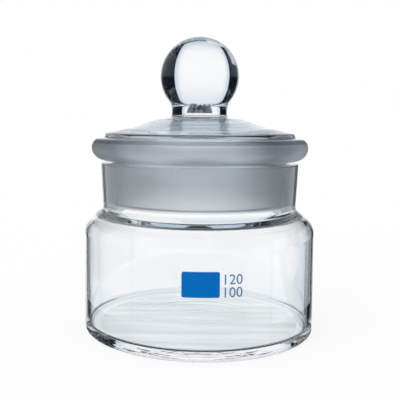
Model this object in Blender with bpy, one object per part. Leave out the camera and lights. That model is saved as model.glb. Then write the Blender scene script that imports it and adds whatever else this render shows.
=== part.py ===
"""Low-form glass specimen jar with a ground-in lid and a ball knob.

Metres, +Z up. The origin is under the middle of the foot, and the printed marking faces -Y.
Jar and lid are turned shapes: each is one outline of radius and height, spun about the Z axis.
"""

import math

import bmesh
import bpy
from mathutils import Matrix, Vector

# Jar body
BODY_DIAMETER = 0.069
JAR_HEIGHT = 0.050  # foot to rim, without the lid
BODY_WALL = 0.0013
FLOOR_THICKNESS = 0.0024
FLOOR_CORNER_RADIUS = 0.0013
HEEL_RADIUS = 0.0012
BEARING_WIDTH = 0.0026  # flat ring that the jar stands on
RECESS_DEPTH = 0.00015  # how far the middle of the foot is hollowed

# Shoulder and neck
SHOULDER_STEP = 0.00475  # neck set in from the wall
SHOULDER_SLOPE = math.radians(37)
SHOULDER_RADIUS = 0.0050
SHOULDER_WALL = 0.0017
SHOULDER_INNER_RADIUS = 0.0045
NECK_LENGTH = 0.0138
NECK_WALL = 0.0038
NECK_FILLET = 0.0022
RIM_RADIUS = 0.0004
SHELF_DROP = 0.0026  # from the foot of the neck to the flat shelf inside, where the bore ends
SHELF_RADIUS = 0.0025  # between shelf and shoulder
SOCKET_EDGE_RADIUS = 0.0008

# Ground joint between neck and plug
GROUND_TAPER = 1 / 10  # change of diameter over length
GROUND_CLEARANCE = 0.0001  # between the two cones, along the radius
GROUND_LENGTH = 0.0124  # of the bore, below the rim
PLUG_LENGTH = 0.0120  # below the rim
PLUG_WALL = 0.0024
PLUG_EDGE_RADIUS = 0.0007

# Flange of the lid
FLANGE_SEAT_GAP = 0.0003  # rim to flange: the cones carry the lid
FLANGE_OVERHANG = 0.0027  # past the outside of the neck
FLANGE_THICKNESS = 0.0071
FLANGE_UNDERSIDE_SLOPE = math.radians(10)
FLANGE_UPPER_ROUND = 0.0029
FLANGE_LOWER_ROUND = 0.0039
MATT_EDGE_DROP = 0.0004  # clear glass left above the matt edge

# Dome of the lid
DOME_LAND = 0.0041  # width of the flange's top, edge to dome
DOME_STEP = 0.0014
DOME_STEP_RUN = 0.0005
DOME_STEP_RADIUS = 0.0005
DOME_RISE = 0.0048  # from its foot to the knob's neck
BROW_RUN = 0.0046  # knob's neck to where the dome turns down
BROW_DROP = 0.0005
BROW_RADIUS = 0.0090
SKIRT_RUN = 0.0088  # dome's edge in to where it turns up
SKIRT_RISE = 0.0019
SKIRT_RADIUS = 0.0250
DOME_WALL = 0.0020
DOME_CORNER_RADIUS = 0.0030

# Knob
KNOB_DIAMETER = 0.0237
KNOB_NECK_DIAMETER = 0.0168
KNOB_NECK_LENGTH = 0.0026  # from the dome's top to the ball's fillet
KNOB_UPPER_FILLET = 0.0034
KNOB_LOWER_FILLET = 0.0008

# Enamel marking on the front of the wall
MARK_WIDTH = 0.0098
MARK_HEIGHT = 0.0067
MARK_CENTRE_X = -0.0010
MARK_DROP = 0.0090  # its middle below the foot of the shoulder
MARK_CORNER_RADIUS = 0.0005
MARK_THICKNESS = 0.00012
MARK_GAP = 0.00004

# Fineness of the turned shapes
TURN_STEPS = 48
ARC_STEP = math.radians(18)
MARK_STEPS = 6
CORNER_STEPS = 4
SHARP_ANGLE = math.radians(30)

OUTWARD = Vector((1, 0))  # of an outline: radius, height
UPWARD = Vector((0, 1))

# Sizes that follow from those above
BODY_RADIUS = BODY_DIAMETER / 2
NECK_RADIUS = BODY_RADIUS - SHOULDER_STEP  # at the rim
SOCKET_RADIUS = NECK_RADIUS - NECK_WALL  # at the rim
PLUG_RADIUS = SOCKET_RADIUS - GROUND_CLEARANCE  # at the rim
RADIUS_TAPER = GROUND_TAPER / 2
SOCKET_DEPTH = NECK_LENGTH + SHELF_DROP  # rim to the foot of the bore
FLANGE_RADIUS = NECK_RADIUS + FLANGE_OVERHANG
FLANGE_TOP = FLANGE_SEAT_GAP + FLANGE_THICKNESS  # above the rim
DOME_RADIUS = FLANGE_RADIUS - DOME_LAND
DOME_FOOT = FLANGE_TOP + DOME_STEP
DOME_TOP = DOME_FOOT + DOME_RISE
KNOB_RADIUS = KNOB_DIAMETER / 2
KNOB_NECK_RADIUS = KNOB_NECK_DIAMETER / 2
FILLET_RADIUS = KNOB_NECK_RADIUS + KNOB_UPPER_FILLET  # of the fillet's middle, about the axis
FILLET_REACH = KNOB_RADIUS + KNOB_UPPER_FILLET  # from the ball's middle to the fillet's
FILLET_HEIGHT = DOME_TOP + KNOB_NECK_LENGTH
KNOB_CENTRE = FILLET_HEIGHT + math.sqrt(FILLET_REACH**2 - FILLET_RADIUS**2)


def corner(radius, height, fillet=0.0):
    """One corner of an outline: where it is, and how much it is rounded."""
    return Vector((radius, height)), fillet


def crossing(a, a_way, b, b_way):
    """The point where the line through a along a_way meets the line through b along b_way."""
    return a + a_way * ((b - a).cross(b_way) / a_way.cross(b_way))


def inset(before, at, after, depth):
    """One corner of an outline, moved to the right of the way along it by depth from both its sides."""
    ways = (at - before).normalized(), (after - at).normalized()
    first, second = (at + depth * Vector((way.y, -way.x)) for way in ways)
    return crossing(first, ways[0], second, ways[1])


def arc(centre, radius, start, end):
    """Points on a circle from one angle to another, both ends included."""
    steps = max(1, math.ceil(abs(end - start) / ARC_STEP))
    angles = (start + (end - start) * i / steps for i in range(steps + 1))
    return [centre + radius * Vector((math.cos(a), math.sin(a))) for a in angles]


def half_angle(before, at, after):
    """Half of the angle between an outline's two sides at one corner."""
    return (before - at).angle(after - at) / 2


def fillet_arc(before, at, after, reach):
    """The rounding of one corner, from reach before it to reach after it."""
    start = at + (before - at).normalized() * reach
    end = at + (after - at).normalized() * reach
    half = half_angle(before, at, after)
    middle = (start + end) / 2 - at
    centre = at + middle.normalized() * (reach / math.cos(half))
    first = math.atan2(start.y - centre.y, start.x - centre.x)
    turn = (start - centre).angle_signed(end - centre)
    return arc(centre, reach * math.tan(half), first, first - turn)


def rounded(corners):
    """An outline's points. Fillets that meet on one side are drawn in until both fit on it."""
    places = [place for place, _ in corners]
    reaches = [0.0] * len(corners)
    for i in range(1, len(corners) - 1):
        reaches[i] = corners[i][1] / math.tan(half_angle(*places[i - 1:i + 2]))
    fits = [1.0] * len(corners)
    for i in range(len(corners) - 1):
        wanted = reaches[i] + reaches[i + 1]
        fit = min(1.0, (places[i + 1] - places[i]).length / wanted) if wanted else 1.0
        fits[i], fits[i + 1] = min(fits[i], fit), min(fits[i + 1], fit)
    points = [places[0]]
    for i in range(1, len(corners) - 1):
        reach = reaches[i] * fits[i]
        points += fillet_arc(*places[i - 1:i + 2], reach) if reach else [places[i]]
    return points + [places[-1]]


def shoulder_corners():
    """Where the shoulder's slope meets the outside of the neck, and where it meets the wall."""
    slope = Vector((-math.cos(SHOULDER_SLOPE), math.sin(SHOULDER_SLOPE)))
    at_neck = Vector((NECK_RADIUS - RADIUS_TAPER * NECK_LENGTH, JAR_HEIGHT - NECK_LENGTH))
    at_wall = crossing(at_neck, slope, Vector((BODY_RADIUS, 0)), UPWARD)
    return at_neck, at_wall


def jar_outline():
    """The jar from the middle of its foot, up the outside, over the rim and down to its floor."""
    at_neck, at_wall = shoulder_corners()
    slope = (at_neck - at_wall).normalized()
    inside = at_neck - SHOULDER_WALL * Vector((slope.y, -slope.x))
    inner_radius = BODY_RADIUS - BODY_WALL
    socket_foot = Vector((SOCKET_RADIUS - RADIUS_TAPER * SOCKET_DEPTH, JAR_HEIGHT - SOCKET_DEPTH))
    shelf_edge = crossing(inside, slope, socket_foot, OUTWARD)
    inner_wall = crossing(inside, slope, Vector((inner_radius, 0)), UPWARD)
    ring_inner = BODY_RADIUS - HEEL_RADIUS - BEARING_WIDTH
    return rounded([
        corner(0, RECESS_DEPTH),
        corner(ring_inner, 0),
        corner(BODY_RADIUS, 0, HEEL_RADIUS),
        corner(*at_wall, SHOULDER_RADIUS),
        corner(*at_neck, NECK_FILLET),
        corner(NECK_RADIUS, JAR_HEIGHT, RIM_RADIUS),
        corner(SOCKET_RADIUS, JAR_HEIGHT, RIM_RADIUS),
        corner(SOCKET_RADIUS - RADIUS_TAPER * GROUND_LENGTH, JAR_HEIGHT - GROUND_LENGTH),
        corner(*socket_foot, SOCKET_EDGE_RADIUS),
        corner(*shelf_edge, SHELF_RADIUS),
        corner(*inner_wall, SHOULDER_INNER_RADIUS),
        corner(inner_radius, FLOOR_THICKNESS, FLOOR_CORNER_RADIUS),
        corner(0, FLOOR_THICKNESS),
    ])


def knob_outline():
    """The ball from its top down to where its fillet meets the knob's neck."""
    down = math.acos(FILLET_RADIUS / FILLET_REACH)
    ball = arc(Vector((0, KNOB_CENTRE)), KNOB_RADIUS, math.pi / 2, -down)
    fillet = arc(Vector((FILLET_RADIUS, FILLET_HEIGHT)), KNOB_UPPER_FILLET, math.pi - down, math.pi)
    return ball + fillet[1:]


def lid_outline():
    """The lid from the top of its knob, round its plug and up its hollow. The rim is at height 0."""
    neck_foot = Vector((KNOB_NECK_RADIUS, DOME_TOP))
    brow = neck_foot + Vector((BROW_RUN, -BROW_DROP))
    dome_edge = Vector((DOME_RADIUS, DOME_FOOT))
    skirt = dome_edge + Vector((-SKIRT_RUN, SKIRT_RISE))
    inner_brow = inset(neck_foot, brow, skirt, DOME_WALL)
    inner_skirt = inset(brow, skirt, dome_edge, DOME_WALL)
    edge_height = FLANGE_SEAT_GAP + (FLANGE_RADIUS - PLUG_RADIUS) * math.tan(FLANGE_UNDERSIDE_SLOPE)
    plug_foot = PLUG_RADIUS - RADIUS_TAPER * PLUG_LENGTH
    hollow_foot = Vector((plug_foot - PLUG_WALL, -PLUG_LENGTH))
    hollow_side = crossing(hollow_foot, Vector((RADIUS_TAPER, 1)), inner_skirt, dome_edge - skirt)
    hollow_top = crossing(inner_brow, neck_foot - brow, Vector((0, 0)), UPWARD)
    return rounded([
        *[corner(*point) for point in knob_outline()],
        corner(*neck_foot, KNOB_LOWER_FILLET),
        corner(*brow, BROW_RADIUS),
        corner(*skirt, SKIRT_RADIUS),
        corner(*dome_edge, DOME_STEP_RADIUS),
        corner(DOME_RADIUS + DOME_STEP_RUN, FLANGE_TOP, DOME_STEP_RADIUS),
        corner(FLANGE_RADIUS, FLANGE_TOP, FLANGE_UPPER_ROUND),
        corner(FLANGE_RADIUS, edge_height, FLANGE_LOWER_ROUND),
        corner(PLUG_RADIUS, FLANGE_SEAT_GAP),
        corner(plug_foot, -PLUG_LENGTH, PLUG_EDGE_RADIUS),
        corner(*hollow_foot, PLUG_EDGE_RADIUS),
        corner(*hollow_side, DOME_CORNER_RADIUS),
        corner(*inner_skirt, SKIRT_RADIUS + DOME_WALL),
        corner(*inner_brow, BROW_RADIUS - DOME_WALL),
        corner(*hollow_top),
    ])


def glass(name, colour, roughness):
    """A see-through material, clear or matt."""
    material = bpy.data.materials.new(name)
    material.use_nodes = True
    shader = material.node_tree.nodes["Principled BSDF"]
    shader.inputs["Base Color"].default_value = (*colour, 1)
    shader.inputs["Roughness"].default_value = roughness
    shader.inputs["Transmission Weight"].default_value = 1
    shader.inputs["IOR"].default_value = 1.47
    return material


def enamel(name, colour):
    """An opaque fired print."""
    material = bpy.data.materials.new(name)
    material.use_nodes = True
    shader = material.node_tree.nodes["Principled BSDF"]
    shader.inputs["Base Color"].default_value = (*colour, 1)
    shader.inputs["Roughness"].default_value = 0.35
    return material


def finished(name, mesh, materials, parent, location=(0, 0, 0)):
    """An object for one sub-part, shaded smooth between its sharp edges."""
    mesh.shade_smooth()
    mesh.set_sharp_from_angle(angle=SHARP_ANGLE)
    for material in materials:
        mesh.materials.append(material)
    part = bpy.data.objects.new(name, mesh)
    bpy.context.scene.collection.objects.link(part)
    part.parent = parent
    part.location = location
    return part


def turned(name, outline):
    """A closed mesh made by spinning an outline of radius and height about the Z axis."""
    shape = bmesh.new()
    points = [shape.verts.new((p.x, 0, p.y)) for p in outline]
    edges = [shape.edges.new(pair) for pair in zip(points, points[1:])]
    bmesh.ops.spin(
        shape,
        geom=points + edges,
        axis=(0, 0, 1),
        angle=math.tau,
        steps=TURN_STEPS,
        use_merge=True,
    )
    bmesh.ops.remove_doubles(shape, verts=shape.verts, dist=1e-6)
    bmesh.ops.recalc_face_normals(shape, faces=shape.faces)
    mesh = bpy.data.meshes.new(name)
    shape.to_mesh(mesh)
    shape.free()
    return mesh


def matt_where(mesh, is_ground):
    """Gives the second material to the faces whose middle's radius and height pass the test."""
    for face in mesh.polygons:
        middle = face.center
        face.material_index = int(is_ground(math.hypot(middle.x, middle.y), middle.z))


def make_jar(clear, matt, parent):
    """The jar, with the bore of its neck ground matt."""
    mesh = turned("jar_body", jar_outline())
    neck_middle = SOCKET_RADIUS + NECK_WALL / 2
    matt_where(mesh, lambda r, z: JAR_HEIGHT - GROUND_LENGTH < z < JAR_HEIGHT and r < neck_middle)
    return finished("jar_body", mesh, (clear, matt), parent)


def make_lid(clear, matt, parent):
    """The lid, with its plug and the edge of its flange ground matt."""
    mesh = turned("lid", lid_outline())
    plug_middle = PLUG_RADIUS - RADIUS_TAPER * PLUG_LENGTH - PLUG_WALL / 2
    matt_where(mesh, lambda r, z: r > plug_middle and -PLUG_LENGTH < z < FLANGE_TOP - MATT_EDGE_DROP)
    return finished("lid", mesh, (clear, matt), parent, (0, 0, JAR_HEIGHT))


def make_marking(print_colour, parent):
    """A thin rectangle with round corners that follows the wall, centred on the front."""
    inner = BODY_RADIUS + MARK_GAP
    outer = inner + MARK_THICKNESS
    _, at_wall = shoulder_corners()
    shoulder_foot = at_wall.y - SHOULDER_RADIUS * math.tan((math.pi / 2 - SHOULDER_SLOPE) / 2)
    high = shoulder_foot - MARK_DROP + MARK_HEIGHT / 2
    low = high - MARK_HEIGHT
    angle = MARK_WIDTH / BODY_RADIUS
    shape = bmesh.new()
    section = [(inner, 0, low), (outer, 0, low), (outer, 0, high), (inner, 0, high)]
    face = shape.faces.new([shape.verts.new(point) for point in section])
    bmesh.ops.spin(shape, geom=[face], axis=(0, 0, 1), angle=angle, steps=MARK_STEPS)
    ends = [e for e in shape.edges if is_corner(e, angle)]
    bmesh.ops.bevel(
        shape,
        geom=ends,
        offset=MARK_CORNER_RADIUS,
        segments=CORNER_STEPS,
        profile=0.5,
        affect="EDGES",
        material=-1,
    )
    front = -math.pi / 2 - angle / 2 + MARK_CENTRE_X / BODY_RADIUS
    bmesh.ops.rotate(shape, verts=shape.verts, matrix=Matrix.Rotation(front, 3, "Z"))
    bmesh.ops.recalc_face_normals(shape, faces=shape.faces)
    mesh = bpy.data.meshes.new("marking_field")
    shape.to_mesh(mesh)
    shape.free()
    return finished("marking_field", mesh, (print_colour,), parent)


def is_corner(edge, angle):
    """True for the four short edges that run outward at the corners of the marking."""
    ends = [math.atan2(v.co.y, v.co.x) for v in edge.verts]
    level = abs(edge.verts[0].co.z - edge.verts[1].co.z) < MARK_GAP / 2
    outward = abs(ends[0] - ends[1]) < 1e-4
    at_end = min(abs(ends[0]), abs(ends[0] - angle)) < 1e-4
    return level and outward and at_end


def main():
    for old in list(bpy.data.objects):
        bpy.data.objects.remove(old)
    assembly = bpy.data.objects.new("jar_axis", None)
    bpy.context.scene.collection.objects.link(assembly)
    clear = glass("clear_glass", (0.95, 0.98, 0.99), 0.02)
    matt = glass("ground_glass", (0.80, 0.84, 0.87), 0.55)
    blue = enamel("blue_enamel", (0.001, 0.136, 0.462))
    make_jar(clear, matt, assembly)
    make_lid(clear, matt, assembly)
    make_marking(blue, assembly)


main()
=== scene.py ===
"""Looks of a low-form glass specimen jar with a ground-in lid and a ball knob.

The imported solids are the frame. The jar and its lid are turned again in fine steps, so that they
bend light as polished glass does, and the marking gets its enamel and its plain numbers.
Metres, +Z up. The marking faces -Y.
"""

import logging
import math
from dataclasses import dataclass
from enum import Enum
from typing import Callable, Sequence

import bmesh
import bpy
from mathutils import Matrix, Vector

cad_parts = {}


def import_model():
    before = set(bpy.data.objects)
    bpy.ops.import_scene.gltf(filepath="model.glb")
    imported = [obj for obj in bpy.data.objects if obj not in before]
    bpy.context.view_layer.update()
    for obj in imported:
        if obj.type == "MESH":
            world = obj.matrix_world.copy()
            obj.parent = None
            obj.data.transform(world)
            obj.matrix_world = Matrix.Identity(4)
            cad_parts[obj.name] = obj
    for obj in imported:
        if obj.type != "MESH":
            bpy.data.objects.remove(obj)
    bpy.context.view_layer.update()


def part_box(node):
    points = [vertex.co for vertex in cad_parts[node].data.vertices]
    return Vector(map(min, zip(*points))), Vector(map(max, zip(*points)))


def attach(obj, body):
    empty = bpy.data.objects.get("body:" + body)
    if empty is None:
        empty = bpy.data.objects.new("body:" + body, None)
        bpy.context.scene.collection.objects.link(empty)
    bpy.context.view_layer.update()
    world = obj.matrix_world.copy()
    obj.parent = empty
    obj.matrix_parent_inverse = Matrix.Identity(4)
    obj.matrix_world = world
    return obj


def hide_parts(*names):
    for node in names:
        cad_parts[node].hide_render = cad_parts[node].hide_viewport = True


LOG = logging.getLogger("specimen_jar")

Colour = tuple[float, float, float]
WHITE: Colour = (1.0, 1.0, 1.0)
HALF_TURN = 180.0
GLASS_INDEX = 1.473


class Body(Enum):
    """The two bodies that come apart."""

    JAR = "jar"
    LID = "lid"


class Slot(Enum):
    """The record's material slots."""

    JAR_GLASS = "jar_glass"
    LID_GLASS = "lid_glass"
    ENAMEL = "blue_enamel"


class Finish(Enum):
    """The finishes on one piece of glass, in the order of its material slots."""

    CLEAR = 0
    GROUND = 1
    MATT = 2
    DOME = 3
    # Dark ground glass for the flange's upper edge and the seam pocket: painted shade.
    BROW = 4


FinishRule = Callable[[float, float], Finish]


class Sight(Enum):
    """The rays that see a part of the surroundings, by the name that Light Path gives them."""

    MIRRORED = "Is Glossy Ray"
    THROUGH = "Is Transmission Ray"


class NodeTree:
    """A node tree with short calls to add nodes and join them."""

    def __init__(self, tree: bpy.types.NodeTree) -> None:
        """Empties the tree.

        Args:
            tree: The node tree of a material or a world.
        """
        self.tree = tree
        tree.nodes.clear()

    def add(self, kind: str, **values: object) -> bpy.types.Node:
        """Adds one node.

        Args:
            kind: The node's type, such as ShaderNodeBump.
            values: Settings of the node, by name.

        Returns:
            The new node.
        """
        node = self.tree.nodes.new(kind)
        for name, value in values.items():
            setattr(node, name, value)
        return node

    def fill(self, node: bpy.types.Node, values: dict[str, object]) -> bpy.types.Node:
        """Sets a node's unlinked inputs.

        Args:
            node: The node.
            values: The value of each input, by the input's name.

        Returns:
            The same node.
        """
        for name, value in values.items():
            node.inputs[name].default_value = value
        return node

    def join(self, source: bpy.types.NodeSocket, target: bpy.types.NodeSocket) -> None:
        """Links an output to an input."""
        self.tree.links.new(source, target)

    def ramp(self, value: bpy.types.NodeSocket, start: float, end: float) -> bpy.types.NodeSocket:
        """A smooth step from 0 to 1.

        Args:
            value: What the step follows.
            start: Where the step begins.
            end: Where it ends, before or after its start.

        Returns:
            The step's output.
        """
        step = self.add("ShaderNodeMapRange", interpolation_type="SMOOTHSTEP")
        rising = end > start
        self.fill(step, {"From Min": min(start, end), "From Max": max(start, end)})
        self.fill(step, {"To Min": float(not rising), "To Max": float(rising)})
        self.join(value, step.inputs["Value"])
        return step.outputs["Result"]

    def merged(self, how: str, values: Sequence[bpy.types.NodeSocket]) -> bpy.types.NodeSocket:
        """Joins values by one kind of arithmetic.

        Args:
            how: MULTIPLY or MAXIMUM.
            values: Two or more outputs.

        Returns:
            The result's output.
        """
        result = values[0]
        for value in values[1:]:
            node = self.add("ShaderNodeMath", operation=how)
            self.join(result, node.inputs[0])
            self.join(value, node.inputs[1])
            result = node.outputs[0]
        return result

    def mixed(
        self,
        share: bpy.types.NodeSocket,
        none: bpy.types.NodeSocket | Colour,
        full: bpy.types.NodeSocket | Colour,
    ) -> bpy.types.NodeSocket:
        """Mixes two colours.

        Args:
            share: How much of the second one shows.
            none: The colour at a share of 0.
            full: The colour at a share of 1.

        Returns:
            The mixed colour.
        """
        node = self.add("ShaderNodeMixRGB")
        self.join(share, node.inputs["Fac"])
        for colour, name in ((none, "Color1"), (full, "Color2")):
            if isinstance(colour, tuple):
                node.inputs[name].default_value = (*colour, 1)
            else:
                self.join(colour, node.inputs[name])
        return node.outputs["Color"]

    def tones(self, low: Colour, high: Colour, reach: tuple[float, float]) -> bpy.types.Node:
        """Adds a colour ramp between two tones.

        Args:
            low: The tone at its start.
            high: The tone at its end.
            reach: Where the change from one to the other starts and ends.

        Returns:
            The ramp's node.
        """
        node = self.add("ShaderNodeValToRGB")
        for stop, place, colour in zip(node.color_ramp.elements, reach, (low, high)):
            stop.position = place
            stop.color = (*colour, 1)
        return node


def new_material(name: str) -> tuple[bpy.types.Material, NodeTree]:
    """A material with an empty node tree.

    Args:
        name: The material's name.

    Returns:
        The material and its tree.
    """
    material = bpy.data.materials.new(name)
    material.use_nodes = True
    return material, NodeTree(material.node_tree)


def around_the_axis(web: NodeTree, around: float, along: float) -> bpy.types.NodeSocket:
    """Coordinates that follow a turned wall: the angle about the Z axis, and the height.

    Args:
        web: The tree to add to.
        around: How fast the pattern changes with the angle.
        along: How fast it changes with the height.

    Returns:
        The vector output.
    """
    place = web.add("ShaderNodeTexCoord")
    apart = web.add("ShaderNodeSeparateXYZ")
    angle = web.add("ShaderNodeMath", operation="ARCTAN2")
    turn = web.add("ShaderNodeMath", operation="MULTIPLY")
    rise = web.add("ShaderNodeMath", operation="MULTIPLY")
    together = web.add("ShaderNodeCombineXYZ")
    turn.inputs[1].default_value = around
    rise.inputs[1].default_value = along
    web.join(place.outputs["Object"], apart.inputs[0])
    web.join(apart.outputs["Y"], angle.inputs[0])
    web.join(apart.outputs["X"], angle.inputs[1])
    web.join(angle.outputs[0], turn.inputs[0])
    web.join(apart.outputs["Z"], rise.inputs[0])
    web.join(turn.outputs[0], together.inputs["X"])
    web.join(rise.outputs[0], together.inputs["Y"])
    return together.outputs[0]


@dataclass(frozen=True)
class ClearGlass:
    """Fire-polished glass with faint striae."""

    name: str = "clear_glass"
    colour: Colour = (0.990, 0.997, 1.0)
    index: float = GLASS_INDEX
    stria_scale: float = 90.0
    stria_height: float = 0.000004
    ring_scale: float = 500.0
    ring_height: float = 0.0

    def add_rings(self, web: NodeTree, bump: bpy.types.Node) -> None:
        """Adds uneven rings about the axis, as turning in a mould leaves them.

        Args:
            web: The finish's tree.
            bump: The bump that lies on top of them.
        """
        place = web.add("ShaderNodeTexCoord")
        flat = web.add("ShaderNodeVectorMath", operation="MULTIPLY")
        flat.inputs[1].default_value = (1, 1, 0)
        radius = web.add("ShaderNodeVectorMath", operation="LENGTH")
        noise = web.fill(
            web.add("ShaderNodeTexNoise", noise_dimensions="1D"),
            {"Scale": self.ring_scale, "Detail": 2.0},
        )
        rings = web.fill(web.add("ShaderNodeBump"), {"Distance": self.ring_height})
        web.join(place.outputs["Object"], flat.inputs[0])
        web.join(flat.outputs[0], radius.inputs[0])
        web.join(radius.outputs["Value"], noise.inputs["W"])
        web.join(noise.outputs["Fac"], rings.inputs["Height"])
        web.join(rings.outputs["Normal"], bump.inputs["Normal"])

    def material(self) -> bpy.types.Material:
        """Builds the finish.

        Returns:
            The material.
        """
        material, web = new_material(self.name)
        place = web.add("ShaderNodeTexCoord")
        stria = web.fill(web.add("ShaderNodeTexNoise"), {"Scale": self.stria_scale, "Detail": 1.0})
        bump = web.fill(web.add("ShaderNodeBump"), {"Distance": self.stria_height})
        shader = web.fill(
            web.add("ShaderNodeBsdfPrincipled"),
            {
                "Base Color": (*self.colour, 1),
                "Roughness": 0.0,
                "IOR": self.index,
                "Transmission Weight": 1.0,
            },
        )
        output = web.add("ShaderNodeOutputMaterial")
        web.join(place.outputs["Object"], stria.inputs["Vector"])
        web.join(stria.outputs["Fac"], bump.inputs["Height"])
        if self.ring_height:
            self.add_rings(web, bump)
        web.join(bump.outputs["Normal"], shader.inputs["Normal"])
        web.join(shader.outputs["BSDF"], output.inputs["Surface"])
        return material


@dataclass(frozen=True)
class GroundGlass:
    """Glass ground matt with loose grit, which leaves fine marks round the axis."""

    name: str = "ground_glass"
    low: Colour = (0.93, 0.95, 0.97)
    high: Colour = (0.98, 0.985, 0.99)
    tone_reach: tuple[float, float] = (0.3, 0.7)
    roughness: tuple[float, float] = (0.46, 0.56)
    index: float = GLASS_INDEX
    marks_around: float = 6.0
    marks_along: float = 2500.0
    grit_scale: float = 5000.0
    grit_height: float = 0.00001

    def material(self) -> bpy.types.Material:
        """Builds the finish.

        Returns:
            The material.
        """
        material, web = new_material(self.name)
        wall = around_the_axis(web, self.marks_around, self.marks_along)
        marks = web.fill(web.add("ShaderNodeTexNoise"), {"Scale": 1.0, "Detail": 3.0})
        tone = web.tones(self.low, self.high, self.tone_reach)
        smooth, coarse = self.roughness
        rough = web.fill(web.add("ShaderNodeMapRange"), {"To Min": smooth, "To Max": coarse})
        place = web.add("ShaderNodeTexCoord")
        grit = web.fill(web.add("ShaderNodeTexNoise"), {"Scale": self.grit_scale, "Detail": 2.0})
        bump = web.fill(web.add("ShaderNodeBump"), {"Distance": self.grit_height})
        shader = web.fill(
            web.add("ShaderNodeBsdfPrincipled"),
            {"IOR": self.index, "Transmission Weight": 1.0},
        )
        output = web.add("ShaderNodeOutputMaterial")
        web.join(wall, marks.inputs["Vector"])
        web.join(marks.outputs["Fac"], tone.inputs["Fac"])
        web.join(marks.outputs["Fac"], rough.inputs["Value"])
        web.join(place.outputs["Object"], grit.inputs["Vector"])
        web.join(grit.outputs["Fac"], bump.inputs["Height"])
        web.join(tone.outputs["Color"], shader.inputs["Base Color"])
        web.join(rough.outputs["Result"], shader.inputs["Roughness"])
        web.join(bump.outputs["Normal"], shader.inputs["Normal"])
        web.join(shader.outputs["BSDF"], output.inputs["Surface"])
        return material


GLASS_FINISHES: dict[Finish, ClearGlass | GroundGlass] = {
    Finish.CLEAR: ClearGlass(),
    Finish.GROUND: GroundGlass(),
    Finish.MATT: GroundGlass("matt_edge", low=(0.76, 0.80, 0.84), high=(0.83, 0.86, 0.89)),
    # The dome's glass is tinted darker than the clear glass as painted shade; its rings are real bumps.
    Finish.DOME: ClearGlass("dome_glass_painted_shade", colour=(0.75, 0.80, 0.84), ring_height=0.00008),
    # Painted shade: dark ground glass for the flange's upper edge and the seam pocket.
    Finish.BROW: GroundGlass("painted_shade_ground_glass", low=(0.29, 0.33, 0.37), high=(0.35, 0.39, 0.43)),
}


@dataclass(frozen=True)
class Enamel:
    """A fired print with the faint unevenness of a screened coat."""

    name: str
    thin: Colour
    thick: Colour
    tone_reach: tuple[float, float] = (0.35, 0.65)
    roughness: float = 0.35
    specular: float = 0.03
    grain: float = 1800.0

    def material(self) -> bpy.types.Material:
        """Builds the finish.

        Returns:
            The material.
        """
        material, web = new_material(self.name)
        place = web.add("ShaderNodeTexCoord")
        coat = web.fill(web.add("ShaderNodeTexNoise"), {"Scale": self.grain, "Detail": 2.0})
        tone = web.tones(self.thin, self.thick, self.tone_reach)
        shader = web.fill(
            web.add("ShaderNodeBsdfPrincipled"),
            {"Roughness": self.roughness, "Specular IOR Level": self.specular},
        )
        output = web.add("ShaderNodeOutputMaterial")
        web.join(place.outputs["Object"], coat.inputs["Vector"])
        web.join(coat.outputs["Fac"], tone.inputs["Fac"])
        web.join(tone.outputs["Color"], shader.inputs["Base Color"])
        web.join(shader.outputs["BSDF"], output.inputs["Surface"])
        return material


FIELD_BLUE = Enamel("field_enamel", (0.0008, 0.140, 0.470), (0.0005, 0.130, 0.450))
NUMBER_BLUE = Enamel("number_enamel", (0.115, 0.225, 0.350), (0.085, 0.185, 0.310))


def mesh_of(name: str, shape: bmesh.types.BMesh) -> bpy.types.Mesh:
    """Makes a mesh of finished work.

    Args:
        name: The mesh's name.
        shape: The work, in place. It is freed.

    Returns:
        The mesh.
    """
    mesh = bpy.data.meshes.new(name)
    shape.to_mesh(mesh)
    shape.free()
    return mesh


def round_off(
    shape: bmesh.types.BMesh, corners: Sequence[bmesh.types.BMVert], offset: float, steps: int
) -> None:
    """Puts a round stretch in place of each corner of an outline or flat work.

    Args:
        shape: The outline or flat work.
        corners: The corners to round.
        offset: How far from its corner a round stretch starts.
        steps: How many short sides it has.
    """
    bmesh.ops.bevel(
        shape,
        geom=list(corners),
        offset=offset,
        offset_type="OFFSET",
        segments=steps,
        profile=0.5,
        affect="VERTICES",
        material=-1,
    )


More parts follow.
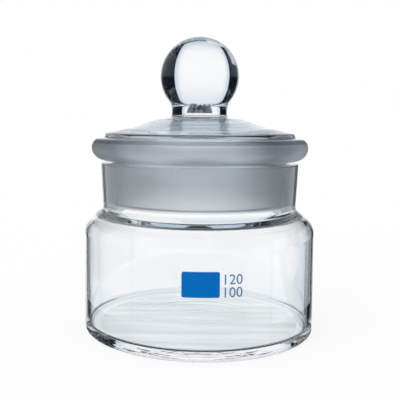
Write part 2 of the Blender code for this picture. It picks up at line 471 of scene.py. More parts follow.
class Lathe:
    """Turns an outline about the Z axis. The outline lies in the XZ plane and is drawn in order."""

    STEPS = 192
    MERGE = 1e-7

    def __init__(
        self, radius: float, height: float, arc_step: float = math.radians(3), least_steps: int = 6
    ) -> None:
        """Starts the outline.

        Args:
            radius: Distance of its first point from the axis.
            height: Height of its first point.
            arc_step: How far a short side of an arc turns.
            least_steps: How many short sides an arc has at least.
        """
        self.arc_step = arc_step
        self.least_steps = least_steps
        self.shape = bmesh.new()
        self.tip = self.shape.verts.new((radius, 0, height))
        self.roundings: list[tuple[bmesh.types.BMVert, float]] = []

    def line(self, radius: float, height: float, rounding: float = 0.0) -> None:
        """Draws a straight side to a new corner.

        Args:
            radius: Distance of the corner from the axis.
            height: Height of the corner.
            rounding: Radius of the fillet that takes its place.
        """
        corner = self.shape.verts.new((radius, 0, height))
        self.shape.edges.new((self.tip, corner))
        self.tip = corner
        if rounding:
            self.roundings.append((corner, rounding))

    def waves(self, radius: float, height: float, wave: Callable[[float], float], steps: int) -> None:
        """Draws a side whose height waves.

        Args:
            radius: Distance of its end from the axis.
            height: Height of its end.
            wave: What to add to the height, from the radius.
            steps: How many short sides to use.
        """
        start = self.tip.co.copy()
        end = Vector((radius, 0, height))
        for i in range(1, steps + 1):
            place = start.lerp(end, i / steps)
            self.line(place.x, place.z + wave(place.x))

    def arc(self, centre: Vector, angle: float, steps: int = 0) -> None:
        """Draws an arc from the last point.

        Args:
            centre: The arc's middle.
            angle: How far it turns about +Y, which is clockwise when seen from the front.
            steps: How many short sides to use, or 0 for the usual fineness.
        """
        made = bmesh.ops.spin(
            self.shape,
            geom=[self.tip],
            cent=centre,
            axis=(0, 1, 0),
            angle=angle,
            steps=steps or max(self.least_steps, math.ceil(abs(angle) / self.arc_step)),
        )
        self.tip = made["geom_last"][0]

    def round_corners(self) -> None:
        """Puts a fillet in place of each corner that asks for one."""
        for corner, rounding in self.roundings:
            sides = [edge.other_vert(corner).co - corner.co for edge in corner.link_edges]
            between = sides[0].angle(sides[1])
            steps = max(self.least_steps, math.ceil((math.pi - between) / self.arc_step))
            round_off(self.shape, [corner], rounding / math.tan(between / 2), steps)

    def turn(self, name: str) -> bpy.types.Mesh:
        """Spins the outline.

        Args:
            name: The mesh's name.

        Returns:
            A closed mesh with its faces pointing out.
        """
        self.round_corners()
        bmesh.ops.spin(
            self.shape,
            geom=self.shape.verts[:] + self.shape.edges[:],
            axis=(0, 0, 1),
            angle=math.tau,
            steps=self.STEPS,
            use_merge=True,
        )
        bmesh.ops.remove_doubles(self.shape, verts=self.shape.verts, dist=self.MERGE)
        bmesh.ops.recalc_face_normals(self.shape, faces=self.shape.faces)
        mesh = mesh_of(name, self.shape)
        mesh.shade_smooth()
        return mesh


def meeting(a: Vector, a_way: Vector, b: Vector, b_way: Vector) -> Vector:
    """Where two lines of an outline meet.

    Args:
        a: A point on the first line.
        a_way: The way that it runs.
        b: A point on the second line.
        b_way: The way that it runs.

    Returns:
        The point that is on both.
    """
    return a + a_way * ((b - a).cross(b_way).y / a_way.cross(b_way).y)


def piece_of(name: str, mesh: bpy.types.Mesh, materials: Sequence[bpy.types.Material]) -> bpy.types.Object:
    """An object at the origin for one piece.

    Args:
        name: The piece's name.
        mesh: Its mesh, already in place.
        materials: Its materials, in the order of its slots.

    Returns:
        The object, in the scene.
    """
    for material in materials:
        mesh.materials.append(material)
    piece = bpy.data.objects.new(name, mesh)
    bpy.context.scene.collection.objects.link(piece)
    return piece


def stage_piece(name: str, shape: bmesh.types.BMesh, material: bpy.types.Material) -> bpy.types.Object:
    """A part of the studio that only the glass sees.

    Args:
        name: Its name.
        shape: Its shape, in place. It is freed.
        material: Its light.

    Returns:
        The object, which the camera, diffuse light and shadows don't see.
    """
    piece = piece_of(name, mesh_of(name, shape), [material])
    piece.visible_camera = False
    piece.visible_diffuse = False
    piece.visible_shadow = False
    return piece


def grind(mesh: bpy.types.Mesh, finish_at: FinishRule) -> None:
    """Gives each face of a piece its finish.

    Args:
        mesh: The piece's mesh, with the finishes of Finish as its slots.
        finish_at: Says a face's finish, from the radius and height of its middle.
    """
    for face in mesh.polygons:
        middle = face.center
        face.material_index = finish_at(math.hypot(middle.x, middle.y), middle.z).value


@dataclass(frozen=True)
class GroundJoint:
    """The cone between neck and plug: its taper, in radius for each unit of height, and its gap."""

    taper: float = 0.05
    clearance: float = 0.0001


@dataclass(frozen=True)
class JarBody:
    """The jar: foot, wall, shoulder and neck with its ground socket."""

    radius: float
    height: float
    joint: GroundJoint
    wall: float = 0.0013
    floor: float = 0.0024
    floor_corner: float = 0.0013
    floor_margin: float = 0.00195
    heel: float = 0.0012
    bearing: float = 0.0026
    recess: float = 0.00015
    recess_steps: int = 32
    shoulder_step: float = 0.00475
    shoulder_slope: float = math.radians(37)
    shoulder_round: float = 0.0050
    shoulder_wall: float = 0.0017
    inner_round: float = 0.0045
    shelf_drop: float = 0.0026
    shelf_round: float = 0.0025
    neck_length: float = 0.0138
    neck_wall: float = 0.0038
    neck_fillet: float = 0.0022
    rim_round: float = 0.0004
    ground_length: float = 0.0124
    socket_round: float = 0.0008
    ripple_height: float = 0.000004
    ripple_lengths: tuple[float, ...] = (0.0021, 0.0034, 0.0057)
    ripple_steps: int = 120
    arc_step: float = math.radians(5)
    arc_least: int = 3

    @property
    def neck_radius(self) -> float:
        """Outside of the neck at the rim."""
        return self.radius - self.shoulder_step

    @property
    def socket_radius(self) -> float:
        """Bore of the neck at the rim."""
        return self.neck_radius - self.neck_wall

    def ripple(self, radius: float) -> float:
        """Height of the floor's faint rings, which fade out at its middle and its edge.

        Args:
            radius: Distance from the axis.

        Returns:
            What the rings add to the floor's height.
        """
        share = min(1.0, radius / (self.radius - self.wall - self.floor_corner))
        fade = max(0.0, math.sin(math.pi * share))
        rings = sum(math.sin(math.tau * radius / length) for length in self.ripple_lengths)
        return self.ripple_height * fade * rings

    def turned(self) -> bpy.types.Mesh:
        """Turns the jar, from the middle of its foot up the outside and down to its floor.

        Returns:
            The jar's mesh.
        """
        taper = self.joint.taper
        slope = math.tan(self.shoulder_slope)
        neck_foot = self.height - self.neck_length
        neck_foot_radius = self.neck_radius - taper * self.neck_length
        wall_top = neck_foot - (self.radius - neck_foot_radius) * slope
        inner = self.radius - self.wall
        shelf = neck_foot - self.shelf_drop
        socket_foot = self.socket_radius - taper * (self.height - shelf)
        drop = self.shoulder_wall / math.cos(self.shoulder_slope)
        shelf_edge = neck_foot_radius + (neck_foot - drop - shelf) / slope
        inner_top = neck_foot - drop - (inner - neck_foot_radius) * slope
        ground_foot = self.socket_radius - taper * self.ground_length
        ring = self.radius - self.heel - self.bearing
        hollow = (ring**2 + self.recess**2) / (2 * self.recess)
        lathe = Lathe(0, self.recess, self.arc_step, self.arc_least)
        lathe.arc(Vector((0, 0, self.recess - hollow)), math.asin(ring / hollow), self.recess_steps)
        lathe.line(self.radius, 0, self.heel)
        lathe.line(self.radius, wall_top, self.shoulder_round)
        lathe.line(neck_foot_radius, neck_foot, self.neck_fillet)
        lathe.line(self.neck_radius, self.height, self.rim_round)
        lathe.line(self.socket_radius, self.height, self.rim_round)
        lathe.line(ground_foot, self.height - self.ground_length)
        lathe.line(socket_foot, shelf, self.socket_round)
        lathe.line(shelf_edge, shelf, self.shelf_round)
        lathe.line(inner, inner_top, self.inner_round)
        lathe.line(inner, self.floor, self.floor_corner)
        lathe.line(inner - self.floor_margin, self.floor)
        lathe.waves(0, self.floor, self.ripple, self.ripple_steps)
        return lathe.turn("jar_glass")

    def finish_at(self, radius: float, height: float) -> Finish:
        """Says which finish a place has.

        Args:
            radius: Distance from the axis.
            height: Height above the foot.

        Returns:
            Ground on the bore of the neck, and clear elsewhere.
        """
        in_neck = self.height - self.ground_length < height < self.height
        in_bore = radius < self.neck_radius - self.neck_wall / 2
        return Finish.GROUND if in_neck and in_bore else Finish.CLEAR

    def build(self, glass: Sequence[bpy.types.Material]) -> bpy.types.Object:
        """Builds and dresses the jar.

        Args:
            glass: The finishes of glass, as Finish orders them.

        Returns:
            The piece.
        """
        piece = piece_of("jar_glass", self.turned(), glass)
        grind(piece.data, self.finish_at)
        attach(piece, Body.JAR.value)
        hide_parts("jar_body")
        return piece


@dataclass(frozen=True)
class Lid:
    """The lid: ball knob on a filleted neck, dome, flange and hollow ground plug."""

    flange_radius: float
    foot: float
    top: float
    rim: float
    socket_radius: float
    joint: GroundJoint
    seat_gap: float = 0.0003
    plug_wall: float = 0.0024
    plug_round: float = 0.0007
    flange_thickness: float = 0.0071
    underside_slope: float = math.radians(10)
    upper_round: float = 0.0028
    lower_round: float = 0.0037
    matt_drop: float = 0.0003
    # Height of the band on the flange's upper edge that gets painted shade.
    painted_shade_height: float = 0.0014
    dome_land: float = 0.0041
    dome_step: float = 0.0014
    step_run: float = 0.0005
    step_round: float = 0.0005
    dome_rise: float = 0.0048
    brow_run: float = 0.0046
    brow_drop: float = 0.0005
    brow_round: float = 0.0090
    skirt_run: float = 0.0088
    skirt_rise: float = 0.0019
    skirt_round: float = 0.0250
    dome_wall: float = 0.0020
    dome_corner: float = 0.0030
    knob_radius: float = 0.01185
    knob_neck: float = 0.0084
    upper_fillet: float = 0.0034
    lower_fillet: float = 0.0008
    seam_radius: float = 0.0027
    seam_drop: float = 0.0110
    seam_rise: float = 0.0052
    seam_points: int = 22
    seam_taper: float = 0.8
    seam_least: float = 0.25
    seam_dip: float = 0.2
    seam_lean: tuple[float, float] = (0.75, 0.35)
    seam_beats: tuple[float, float, float] = (2.4, 0.7, 5.1)

    @property
    def flange_top(self) -> float:
        """Height of the flange's upper side."""
        return self.rim + self.seat_gap + self.flange_thickness

    def draw_knob(self) -> Lathe:
        """Draws the ball from its top, and its fillet down to the knob's neck.

        Returns:
            A lathe whose outline ends on the neck.
        """
        centre = Vector((0, 0, self.top - self.knob_radius))
        fillet_radius = self.knob_neck + self.upper_fillet
        reach = self.knob_radius + self.upper_fillet
        down = math.acos(fillet_radius / reach)
        fillet = Vector((fillet_radius, 0, centre.z - reach * math.sin(down)))
        lathe = Lathe(0, self.top)
        lathe.arc(centre, math.pi / 2 + down)
        lathe.arc(fillet, -down)
        return lathe

    def dome(self) -> list[Vector]:
        """Corners of the dome's outside.

        Returns:
            The foot of the knob's neck, the brow where the dome turns down, the skirt and the edge.
        """
        edge = Vector((self.flange_radius - self.dome_land, 0, self.flange_top + self.dome_step))
        neck_foot = Vector((self.knob_neck, 0, edge.z + self.dome_rise))
        brow = neck_foot + Vector((self.brow_run, 0, -self.brow_drop))
        skirt = edge + Vector((-self.skirt_run, 0, self.skirt_rise))
        return [neck_foot, brow, skirt, edge]

    def hollow(self, side: Vector, side_way: Vector) -> list[Vector]:
        """Corners of the hollow's ceiling, which follows the dome.

        Args:
            side: A point on the hollow's side.
            side_way: The way that the side runs.

        Returns:
            The corners from the side to the axis.
        """
        corners = self.dome()
        ways = [(b - a).normalized() for a, b in zip(corners, corners[1:])]
        across = Vector((0, 1, 0))
        lines = [(a + self.dome_wall * across.cross(way), way) for a, way in zip(corners, ways)]
        upright = (Vector((0, 0, 0)), Vector((0, 0, 1)))
        lines = [upright, *lines, (side, side_way)]
        meets = [meeting(*first, *second) for first, second in zip(lines, lines[1:])]
        return meets[::-1]

    def turned(self) -> bpy.types.Mesh:
        """Turns the lid, from the top of its knob round its plug and up its hollow.

        Returns:
            The lid's mesh.
        """
        taper = self.joint.taper
        plug = self.socket_radius - self.joint.clearance
        plug_foot = plug - taper * (self.rim - self.foot)
        seat = self.rim + self.seat_gap
        edge = seat + (self.flange_radius - plug) * math.tan(self.underside_slope)
        hollow_foot = Vector((plug_foot - self.plug_wall, 0, self.foot))
        ceiling_rounds = (
            self.dome_corner,
            self.skirt_round + self.dome_wall,
            self.brow_round - self.dome_wall,
            0,
        )
        dome_rounds = (self.lower_fillet, self.brow_round, self.skirt_round, self.step_round)
        lathe = self.draw_knob()
        for corner, rounding in zip(self.dome(), dome_rounds):
            lathe.line(corner.x, corner.z, rounding)
        lathe.line(lathe.tip.co.x + self.step_run, self.flange_top, self.step_round)
        lathe.line(self.flange_radius, self.flange_top, self.upper_round)
        lathe.line(self.flange_radius, edge, self.lower_round)
        lathe.line(plug, seat)
        lathe.line(plug_foot, self.foot, self.plug_round)
        lathe.line(hollow_foot.x, self.foot, self.plug_round)
        for corner, rounding in zip(self.hollow(hollow_foot, Vector((taper, 0, 1))), ceiling_rounds):
            lathe.line(corner.x, corner.z, rounding)
        return lathe.turn("lid_glass")

    def add_seam(self, mesh: bpy.types.Mesh) -> None:
        """Adds the ragged pocket of air that is left where the ball was joined to its neck, in dark glass
        that is painted shade.

        Args:
            mesh: The turned lid.
        """
        shape = bmesh.new()
        shape.from_mesh(mesh)
        foot = self.top - self.knob_radius - self.seam_drop
        made = bmesh.ops.create_cone(
            shape,
            cap_ends=True,
            segments=self.seam_points,
            radius1=self.seam_radius,
            radius2=self.seam_taper * self.seam_radius,
            depth=self.seam_rise,
            matrix=Matrix.Translation((0, 0, foot + self.seam_rise / 2)),
        )
        faces = {face for point in made["verts"] for face in point.link_faces}
        crest = [point for point in made["verts"] if point.co.z > foot + self.seam_rise / 2]
        cap = max(faces, key=lambda face: face.calc_center_median().z)
        faces.remove(cap)
        poked = bmesh.ops.poke(shape, faces=[cap])
        fast_beat, slow_beat, lean_beat = self.seam_beats
        upright, sway = self.seam_lean
        for i, point in enumerate(sorted(crest, key=lambda point: math.atan2(point.co.y, point.co.x))):
            jag = abs(math.sin(fast_beat * i) * math.cos(slow_beat * i))
            lift = self.seam_least + (1 - self.seam_least) * jag
            lean = upright + sway * math.sin(lean_beat * i)
            point.co = Vector((lean * point.co.x, lean * point.co.y, foot + lift * self.seam_rise))
        poked["verts"][0].co.z = foot + self.seam_dip * self.seam_rise
        faces |= set(poked["faces"])
        bmesh.ops.recalc_face_normals(shape, faces=list(faces))
        bmesh.ops.reverse_faces(shape, faces=list(faces))
        for face in faces:
            face.smooth = False
            # The pocket's faces get the dark ground glass: painted shade.
            face.material_index = Finish.BROW.value
        shape.to_mesh(mesh)
        shape.free()

    def finish_at(self, radius: float, height: float) -> Finish:
        """Says which finish a place has.

        Args:
            radius: Distance from the axis.
            height: Height above the jar's foot.

        Returns:
            Ground on the plug, matt on the edge of the flange with painted shade on its upper edge, ringed
            and tinted darker as painted shade on the dome, and clear elsewhere.
        """
        plug_foot = self.socket_radius - self.joint.taper * (self.rim - self.foot)
        in_hollow = radius < plug_foot - self.plug_wall / 2
        under_knob = height < self.flange_top + self.dome_step + self.dome_rise
        # The dome gets the darker tinted glass: painted shade.
        if under_knob and height > (self.rim if in_hollow else self.flange_top):
            return Finish.DOME
        if in_hollow or not self.foot < height < self.flange_top - self.matt_drop:
            return Finish.CLEAR
        # The flange's upper edge gets the dark ground glass: painted shade.
        if height > self.flange_top - self.painted_shade_height:
            return Finish.BROW
        return Finish.MATT if height > self.rim else Finish.GROUND

    def build(self, glass: Sequence[bpy.types.Material]) -> bpy.types.Object:
        """Builds and dresses the lid.

        Args:
            glass: The finishes of glass, as Finish orders them.

        Returns:
            The piece.
        """
        mesh = self.turned()
        grind(mesh, self.finish_at)
        self.add_seam(mesh)
        piece = piece_of("lid_glass", mesh, glass)
        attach(piece, Body.LID.value)
        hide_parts("lid")
        return piece


@dataclass(frozen=True)
class Marking:
    """The enamel field on the front of the wall, and two rows of plain numbers beside it."""

    wall_radius: float
    low: Vector
    high: Vector
    gap: float = 0.00004
    thickness: float = 0.00012
    corner: float = 0.0005
    corner_steps: int = 5
    steps: int = 16
    numbers: tuple[str, str] = ("120", "100")
    number_height: float = 0.0026
    number_start: float = 0.0052
    row_bottoms: tuple[float, float] = (0.02066, 0.0173)
    figure_steps: int = 6
    figure_merge: float = 0.00001

    def thickened(self, shape: bmesh.types.BMesh) -> None:
        """Gives flat work the thickness of the coat.

        Args:
            shape: The flat work. Its raised face lies towards +Y.
        """
        made = bmesh.ops.extrude_face_region(shape, geom=shape.faces[:])
        raised = [item for item in made["geom"] if isinstance(item, bmesh.types.BMVert)]
        bmesh.ops.translate(shape, verts=raised, vec=(0, self.thickness, 0))

    def wrapped(self, shape: bmesh.types.BMesh) -> None:
        """Bends flat work round the wall: X is the way along the wall, and Y the height above it.

        Args:
            shape: The flat work, with its face towards +Y.
        """
        for point in shape.verts:
            along = point.co.x / self.wall_radius
            out = self.wall_radius + self.gap + point.co.y
            point.co = Vector((out * math.sin(along), -out * math.cos(along), point.co.z))

    def field(self, enamel: bpy.types.Material) -> bpy.types.Object:
        """Builds the field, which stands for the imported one.

        Args:
            enamel: Its finish.

        Returns:
            The piece.
        """
        left = math.asin(self.low.x / self.wall_radius) * self.wall_radius
        right = math.asin(self.high.x / self.wall_radius) * self.wall_radius
        shape = bmesh.new()
        corners = [(left, self.low.z), (right, self.low.z), (right, self.high.z), (left, self.high.z)]
        shape.faces.new([shape.verts.new((x, 0, z)) for x, z in corners])
        round_off(shape, shape.verts[:], self.corner, self.corner_steps)
        self.thickened(shape)
        for i in range(1, self.steps):
            bmesh.ops.bisect_plane(
                shape,
                geom=shape.verts[:] + shape.edges[:] + shape.faces[:],
                plane_co=(left + (right - left) * i / self.steps, 0, 0),
                plane_no=(1, 0, 0),
            )
        self.wrapped(shape)
        return self.finished(shape, "marking_field_enamel", enamel)

    def finished(self, shape: bmesh.types.BMesh, name: str, enamel: bpy.types.Material) -> bpy.types.Object:
        """Makes a piece of the jar from finished work.

        Args:
            shape: The work, in place. It is freed.
            name: The piece's name.
            enamel: Its finish.

        Returns:
            The piece, which rides on the jar.
        """
        bmesh.ops.recalc_face_normals(shape, faces=shape.faces)
        piece = piece_of(name, mesh_of(name, shape), [enamel])
        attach(piece, Body.JAR.value)
        return piece

    def number_row(self, text: str, bottom: float, enamel: bpy.types.Material) -> bpy.types.Object:
        """Builds one row of numbers.

        Args:
            text: The figures.
            bottom: Height of their feet.
            enamel: Their finish.

        Returns:
            The piece.
        """
        curve = bpy.data.curves.new("figures", "FONT")
        curve.body = text
        curve.resolution_u = self.figure_steps
        figures = bpy.data.objects.new("figures", curve)
        bpy.context.scene.collection.objects.link(figures)
        bpy.context.view_layer.update()
        graph = bpy.context.evaluated_depsgraph_get()
        flat = bpy.data.meshes.new_from_object(figures.evaluated_get(graph))
        bpy.data.objects.remove(figures)
        shape = bmesh.new()
        shape.from_mesh(flat)
        bpy.data.meshes.remove(flat)
        bmesh.ops.remove_doubles(shape, verts=shape.verts, dist=self.figure_merge)
        tall = max(v.co.y for v in shape.verts)
        start = min(v.co.x for v in shape.verts)
        size = self.number_height / tall
        bmesh.ops.translate(shape, verts=shape.verts, vec=(-start, 0, 0))
        bmesh.ops.scale(shape, verts=shape.verts, vec=(size, size, size))
        bmesh.ops.rotate(shape, verts=shape.verts, matrix=Matrix.Rotation(math.pi / 2, 3, "X"))
        bmesh.ops.translate(shape, verts=shape.verts, vec=(self.number_start, 0, bottom))
        self.thickened(shape)
        self.wrapped(shape)
        return self.finished(shape, f"marking_number_{text}", enamel)

    def build(self) -> list[bpy.types.Object]:
        """Builds the field and the rows of numbers.

        Returns:
            The pieces.
        """
        field = self.field(FIELD_BLUE.material())
        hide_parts("marking_field")
        blue = NUMBER_BLUE.material()
        rows = [self.number_row(text, z, blue) for text, z in zip(self.numbers, self.row_bottoms)]
        return [field, *rows]


@dataclass(frozen=True)
class Window:
    """A white part of the surroundings that the glass sees, in degrees from +Y towards +X, and up."""

    middle: float
    half_width: float
    low: float = -40.0
    high: float = 56.0
    seen: tuple[Sight, ...] = (Sight.MIRRORED, Sight.THROUGH)


@dataclass(frozen=True)
class Surroundings:
    """What lies round the jar: white to the camera, and to the glass windows between dark cards."""

    windows: tuple[Window, ...] = (
        Window(-90, 30, seen=(Sight.THROUGH,)),
        Window(-54, 13, high=-13, seen=(Sight.THROUGH,)),
        Window(135, 30, high=-5, seen=(Sight.THROUGH,)),
        Window(180, 70, low=-50, high=-4),
    )
    middle: Colour = WHITE
    edge: Colour = (0.55, 0.62, 0.70)
    dark: Colour = (0.006, 0.010, 0.016)
    above: Colour = (0.10, 0.12, 0.14)
    below: Colour = (0.24, 0.29, 0.33)
    above_from: float = 62.0
    below_from: float = -48.0
    tone_blend: float = 8.0
    border: float = 1.5
    falloff_aside: float = 14.0
    falloff_down: float = 20.0
    falloff_up: float = 40.0
    plain_light: float = 0.8

    def directions(self, web: NodeTree) -> tuple[bpy.types.NodeSocket, bpy.types.NodeSocket]:
        """The way a ray goes, as angles in degrees.

        Args:
            web: The world's tree.

        Returns:
            The angle from +Y towards +X, and the angle above the horizon.
        """
        place = web.add("ShaderNodeTexCoord")
        apart = web.add("ShaderNodeSeparateXYZ")
        around = web.add("ShaderNodeMath", operation="ARCTAN2")
        rise = web.add("ShaderNodeMath", operation="ARCSINE")
        web.join(place.outputs["Generated"], apart.inputs[0])
        web.join(apart.outputs["X"], around.inputs[0])
        web.join(apart.outputs["Y"], around.inputs[1])
        web.join(apart.outputs["Z"], rise.inputs[0])
        angles = []
        for radians in (around, rise):
            degrees = web.add("ShaderNodeMath", operation="DEGREES")
            web.join(radians.outputs[0], degrees.inputs[0])
            angles.append(degrees.outputs[0])
        return angles[0], angles[1]

    def glass_view(self, web: NodeTree) -> bpy.types.NodeSocket:
        """What the glass sees: windows that fall off to their edges, and dark tones between them.

        Args:
            web: The world's tree.

        Returns:
            The colour's output.
        """
        path = web.add("ShaderNodeLightPath")
        around, rise = self.directions(web)
        shapes, glows = [], []
        for window in self.windows:
            aside = web.add("ShaderNodeMath", operation="SUBTRACT")
            aside.inputs[1].default_value = window.middle
            web.join(around, aside.inputs[0])
            round_trip = web.add("ShaderNodeMath", operation="WRAP")
            round_trip.inputs[1].default_value = HALF_TURN
            round_trip.inputs[2].default_value = -HALF_TURN
            web.join(aside.outputs[0], round_trip.inputs[0])
            far = web.add("ShaderNodeMath", operation="ABSOLUTE")
            web.join(round_trip.outputs[0], far.inputs[0])
            seen = web.merged("MAXIMUM", [path.outputs[sight.value] for sight in window.seen])
            sides = (
                (far.outputs[0], window.half_width, -1, self.falloff_aside),
                (rise, window.low, 1, self.falloff_down),
                (rise, window.high, -1, self.falloff_up),
            )
            edges = [
                web.ramp(way, at - inward * self.border, at + inward * self.border)
                for way, at, inward, _ in sides
            ]
            fades = [web.ramp(way, at, at + inward * fade) for way, at, inward, fade in sides]
            shapes.append(web.merged("MULTIPLY", [*edges, seen]))
            glows.append(web.merged("MULTIPLY", [*fades, seen]))
        shape = web.merged("MAXIMUM", shapes)
        glow = web.merged("MAXIMUM", glows)
        high = web.ramp(rise, self.above_from - self.tone_blend, self.above_from)
        low = web.ramp(rise, self.below_from + self.tone_blend, self.below_from)
        dark = web.mixed(low, web.mixed(high, self.dark, self.above), self.below)
        return web.mixed(shape, dark, web.mixed(glow, self.edge, self.middle))

    def build(self) -> None:
        """Builds the world."""
        world = bpy.data.worlds.new("surroundings")
        world.use_nodes = True
        web = NodeTree(world.node_tree)
        path = web.add("ShaderNodeLightPath")
        by_glass = web.merged("MAXIMUM", [path.outputs[sight.value] for sight in Sight])
        plain = (self.plain_light,) * 3
        colour = web.mixed(by_glass, plain, self.glass_view(web))
        colour = web.mixed(path.outputs["Is Camera Ray"], colour, WHITE)
        glow = web.add("ShaderNodeBackground")
        output = web.add("ShaderNodeOutputWorld")
        web.join(colour, glow.inputs["Color"])
        web.join(glow.outputs["Background"], output.inputs["Surface"])
        bpy.context.scene.world = world


@dataclass(frozen=True)
class Panel:
    """The white panel close behind the jar, which is only a little wider than the picture."""

    distance: float = 0.290
    left: float = -0.162
    right: float = 0.152
    low: float = -0.190
    high: float = 0.445
    corner: float = 0.120
    corner_steps: int = 12
    fade_aside: float = 0.055
    fade_down: float = 0.180
    fade_up: float = 0.400
    middle: Colour = WHITE
    edge: Colour = (0.60, 0.71, 0.82)

    def material(self) -> bpy.types.Material:
        """Builds the panel's light, which falls off to its edges.

        Returns:
            The material.
        """
        material, web = new_material("white_panel")
        place = web.add("ShaderNodeTexCoord")
        apart = web.add("ShaderNodeSeparateXYZ")
        web.join(place.outputs["Object"], apart.inputs[0])
        across, rise = apart.outputs["X"], apart.outputs["Z"]
        fades = [
            web.ramp(across, self.left, self.left + self.fade_aside),
            web.ramp(across, self.right, self.right - self.fade_aside),
            web.ramp(rise, self.low, self.low + self.fade_down),
            web.ramp(rise, self.high, self.high - self.fade_up),
        ]
        glow = web.add("ShaderNodeEmission")
        output = web.add("ShaderNodeOutputMaterial")
        web.join(web.mixed(web.merged("MULTIPLY", fades), self.edge, self.middle), glow.inputs["Color"])
        web.join(glow.outputs["Emission"], output.inputs["Surface"])
        return material

    def build(self) -> bpy.types.Object:
        """Builds the panel, with its upper corners cut round.

        Returns:
            The panel, which only the glass sees.
        """
        shape = bmesh.new()
        foot = [shape.verts.new((x, self.distance, self.low)) for x in (self.left, self.right)]
        top = [shape.verts.new((x, self.distance, self.high)) for x in (self.right, self.left)]
        shape.faces.new([*foot, *top])
        round_off(shape, top, self.corner, self.corner_steps)
        return stage_piece("white_panel", shape, self.material())


@dataclass(frozen=True)
class Card:
    """A card that is bent round the jar or lies flat at its foot, where only the glass sees it.

    Its start and end are a radius and a height, and its arc is in degrees from +X towards +Y. Where it
    has a low tone, its light falls to that in streaks along X.
    """

    name: str
    start: tuple[float, float]
    end: tuple[float, float]
    arc: tuple[float, float]
    tone: float
    low_tone: float | None = None
    colour: Colour = (0.90, 0.96, 1.0)
    seen: tuple[Sight, ...] = (Sight.MIRRORED, Sight.THROUGH)
    streak_scale: tuple[float, float, float] = (25.0, 180.0, 1.0)
    streak_start: tuple[float, float, float] = (0.4, 2.6, 0.0)
    streak_reach: tuple[float, float] = (0.35, 0.65)

    def material(self) -> bpy.types.Material:
        """Builds the card's light.

        Returns:
            The material.
        """
        material, web = new_material(self.name)
        glow = web.add("ShaderNodeEmission")
        web.fill(glow, {"Color": (*self.colour, 1), "Strength": self.tone})
        output = web.add("ShaderNodeOutputMaterial")
        web.join(glow.outputs["Emission"], output.inputs["Surface"])
        if self.low_tone is not None:
            place = web.add("ShaderNodeTexCoord")
            along = web.fill(
                web.add("ShaderNodeMapping"),
                {"Location": self.streak_start, "Scale": self.streak_scale},
            )
            streaks = web.fill(web.add("ShaderNodeTexNoise"), {"Scale": 1.0, "Detail": 2.0})
            start, end = self.streak_reach
            level = web.fill(
                web.add("ShaderNodeMapRange"),
                {"From Min": start, "From Max": end, "To Min": self.low_tone, "To Max": self.tone},
            )
            web.join(place.outputs["Object"], along.inputs["Vector"])
            web.join(along.outputs["Vector"], streaks.inputs["Vector"])
            web.join(streaks.outputs["Fac"], level.inputs["Value"])
            web.join(level.outputs["Result"], glow.inputs["Strength"])
        return material

    def build(self) -> bpy.types.Object:
        """Builds the card.

        Returns:
            The card, which only the glass sees.
        """
        first, last = (math.radians(angle) for angle in self.arc)
        way = Vector((math.cos(first), math.sin(first), 0))
        shape = bmesh.new()
        ends = [shape.verts.new(radius * way + Vector((0, 0, z))) for radius, z in (self.start, self.end)]
        edge = shape.edges.new(ends)
        bmesh.ops.spin(shape, geom=[*ends, edge], axis=(0, 0, 1), angle=last - first, steps=Lathe.STEPS)
        card = stage_piece(self.name, shape, self.material())
        card.visible_glossy = Sight.MIRRORED in self.seen
        card.visible_transmission = Sight.THROUGH in self.seen
        return card


TABLE_LEVEL = -0.0002
UNDER_LEVEL = -0.0003
SIDE_FOOT = (0.073, -0.005)
SIDE_TOP = (0.073, 0.0468)

CARDS = (
    Card("table_at_back", (0.0300, TABLE_LEVEL), (0.0400, TABLE_LEVEL), arc=(0, 180), tone=0.9),
    # A dark ring in front of the foot that only the glass sees: a painted contact shadow.
    Card("painted_contact_shadow", (0.0316, TABLE_LEVEL), (0.0345, TABLE_LEVEL), arc=(-145, -35), tone=0.05),
    Card(
        "table_behind",
        (0.0400, TABLE_LEVEL),
        (0.1050, TABLE_LEVEL),
        arc=(97, 131),
        tone=0.97,
        colour=WHITE,
    ),
    Card(
        "table_in_front",
        (0.0400, TABLE_LEVEL),
        (0.2000, TABLE_LEVEL),
        arc=(-110, -15),
        tone=0.97,
        colour=WHITE,
        seen=(Sight.THROUGH,),
    ),
    Card("table_under", (0.0, UNDER_LEVEL), (0.0300, UNDER_LEVEL), arc=(0, 360), tone=0.9, low_tone=0.6),
    Card("left_glow", SIDE_FOOT, SIDE_TOP, arc=(150, 215), tone=0.9, seen=(Sight.MIRRORED,)),
    Card("right_glow", SIDE_FOOT, SIDE_TOP, arc=(-35, 27), tone=0.9, seen=(Sight.MIRRORED,)),
)


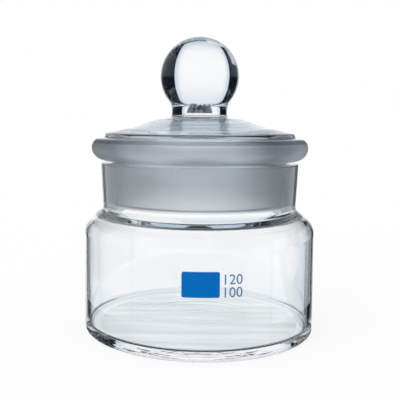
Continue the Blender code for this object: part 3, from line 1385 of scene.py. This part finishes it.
@dataclass(frozen=True)
class Studio:
    """White floor and surroundings, the cards that the glass sees, one soft lamp and the camera."""

    floor_size: float = 6.0
    floor_colour: Colour = (0.95, 0.95, 0.95)
    floor_glow: float = 0.85
    shadow_reach: tuple[float, float] = (0.05, 0.25)
    cards: tuple[Card, ...] = CARDS
    lamp_size: float = 0.8
    lamp_power: float = 6.5
    lamp_place: tuple[float, float, float] = (-0.6, -0.6, 1.0)
    sensor: float = 36.0
    nearest: float = 0.01
    focal_px: float = 656.0
    image_px: float = 400.0
    camera_place: tuple[float, float, float] = (-0.0097, -0.1995, 0.06145)
    pitch: float = math.radians(4.15)
    roll: float = math.radians(0.3)
    shift: tuple[float, float] = (0.0821, -0.07)
    bounces: int = 32

    def build_floor(self) -> bpy.types.Object:
        """Builds a plain white floor that keeps a soft shadow. The glass sees the surroundings instead.

        Returns:
            The floor, in the scene.
        """
        material, web = new_material("studio_floor")
        matt = web.fill(web.add("ShaderNodeBsdfDiffuse"), {"Color": (*self.floor_colour, 1)})
        glow = web.fill(web.add("ShaderNodeEmission"), {"Color": (*WHITE, 1), "Strength": 1.0})
        path = web.add("ShaderNodeLightPath")
        place = web.add("ShaderNodeTexCoord")
        far = web.add("ShaderNodeVectorMath", operation="LENGTH")
        near, away = self.shadow_reach
        fade = web.fill(
            web.add("ShaderNodeMapRange"),
            {"From Min": near, "From Max": away, "To Min": self.floor_glow, "To Max": 1.0},
        )
        share = web.merged("MULTIPLY", [path.outputs["Is Camera Ray"], fade.outputs["Result"]])
        mixed = web.add("ShaderNodeMixShader")
        output = web.add("ShaderNodeOutputMaterial")
        web.join(place.outputs["Object"], far.inputs[0])
        web.join(far.outputs["Value"], fade.inputs["Value"])
        web.join(share, mixed.inputs["Fac"])
        web.join(matt.outputs["BSDF"], mixed.inputs[1])
        web.join(glow.outputs["Emission"], mixed.inputs[2])
        web.join(mixed.outputs["Shader"], output.inputs["Surface"])
        shape = bmesh.new()
        bmesh.ops.create_grid(shape, x_segments=1, y_segments=1, size=self.floor_size / 2)
        floor = piece_of("studio_floor", mesh_of("studio_floor", shape), [material])
        floor.visible_glossy = False
        floor.visible_transmission = False
        return floor

    def build_lamp(self) -> None:
        """One soft lamp from the upper left, which the glass doesn't mirror."""
        data = bpy.data.lights.new("soft_lamp", "AREA")
        data.size = self.lamp_size
        data.energy = self.lamp_power
        lamp = bpy.data.objects.new("soft_lamp", data)
        lamp.location = self.lamp_place
        lamp.rotation_euler = (-lamp.location).to_track_quat("-Z", "Y").to_euler()
        lamp.visible_glossy = False
        lamp.visible_transmission = False
        bpy.context.scene.collection.objects.link(lamp)

    def build_camera(self) -> None:
        """The camera at the photograph's angle."""
        data = bpy.data.cameras.new("camera")
        data.sensor_width = self.sensor
        data.lens = self.focal_px / self.image_px * self.sensor
        data.shift_x, data.shift_y = self.shift
        data.clip_start = self.nearest
        camera = bpy.data.objects.new("camera", data)
        aim = Matrix.Rotation(math.pi / 2 - self.pitch, 4, "X") @ Matrix.Rotation(self.roll, 4, "Z")
        camera.matrix_world = Matrix.Translation(self.camera_place) @ aim
        bpy.context.scene.collection.objects.link(camera)
        bpy.context.scene.camera = camera

    def build(self) -> None:
        """Builds the whole studio."""
        scene = bpy.context.scene
        scene.view_settings.view_transform = "Standard"
        scene.cycles.max_bounces = self.bounces
        scene.cycles.transmission_bounces = self.bounces
        scene.cycles.glossy_bounces = self.bounces
        self.build_camera()
        Surroundings().build()
        self.build_floor()
        Panel().build()
        for card in self.cards:
            card.build()
        self.build_lamp()


def main() -> None:
    """Loads the frame, builds the pieces in order and notes the sizes."""
    logging.basicConfig(level=logging.INFO, format="%(name)s: %(message)s")
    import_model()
    _, jar_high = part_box("jar_body")
    lid_low, lid_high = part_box("lid")
    Studio().build()
    joint = GroundJoint()
    glass = [GLASS_FINISHES[finish].material() for finish in Finish]
    jar = JarBody(radius=jar_high.x, height=jar_high.z, joint=joint)
    lid = Lid(
        flange_radius=lid_high.x,
        foot=lid_low.z,
        top=lid_high.z,
        rim=jar.height,
        socket_radius=jar.socket_radius,
        joint=joint,
    )
    marking = Marking(jar.radius, *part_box("marking_field"))
    for piece in (jar.build(glass), lid.build(glass), *marking.build()):
        LOG.info("%s: %d faces", piece.name, len(piece.data.polygons))


if __name__ == "__main__":
    main()
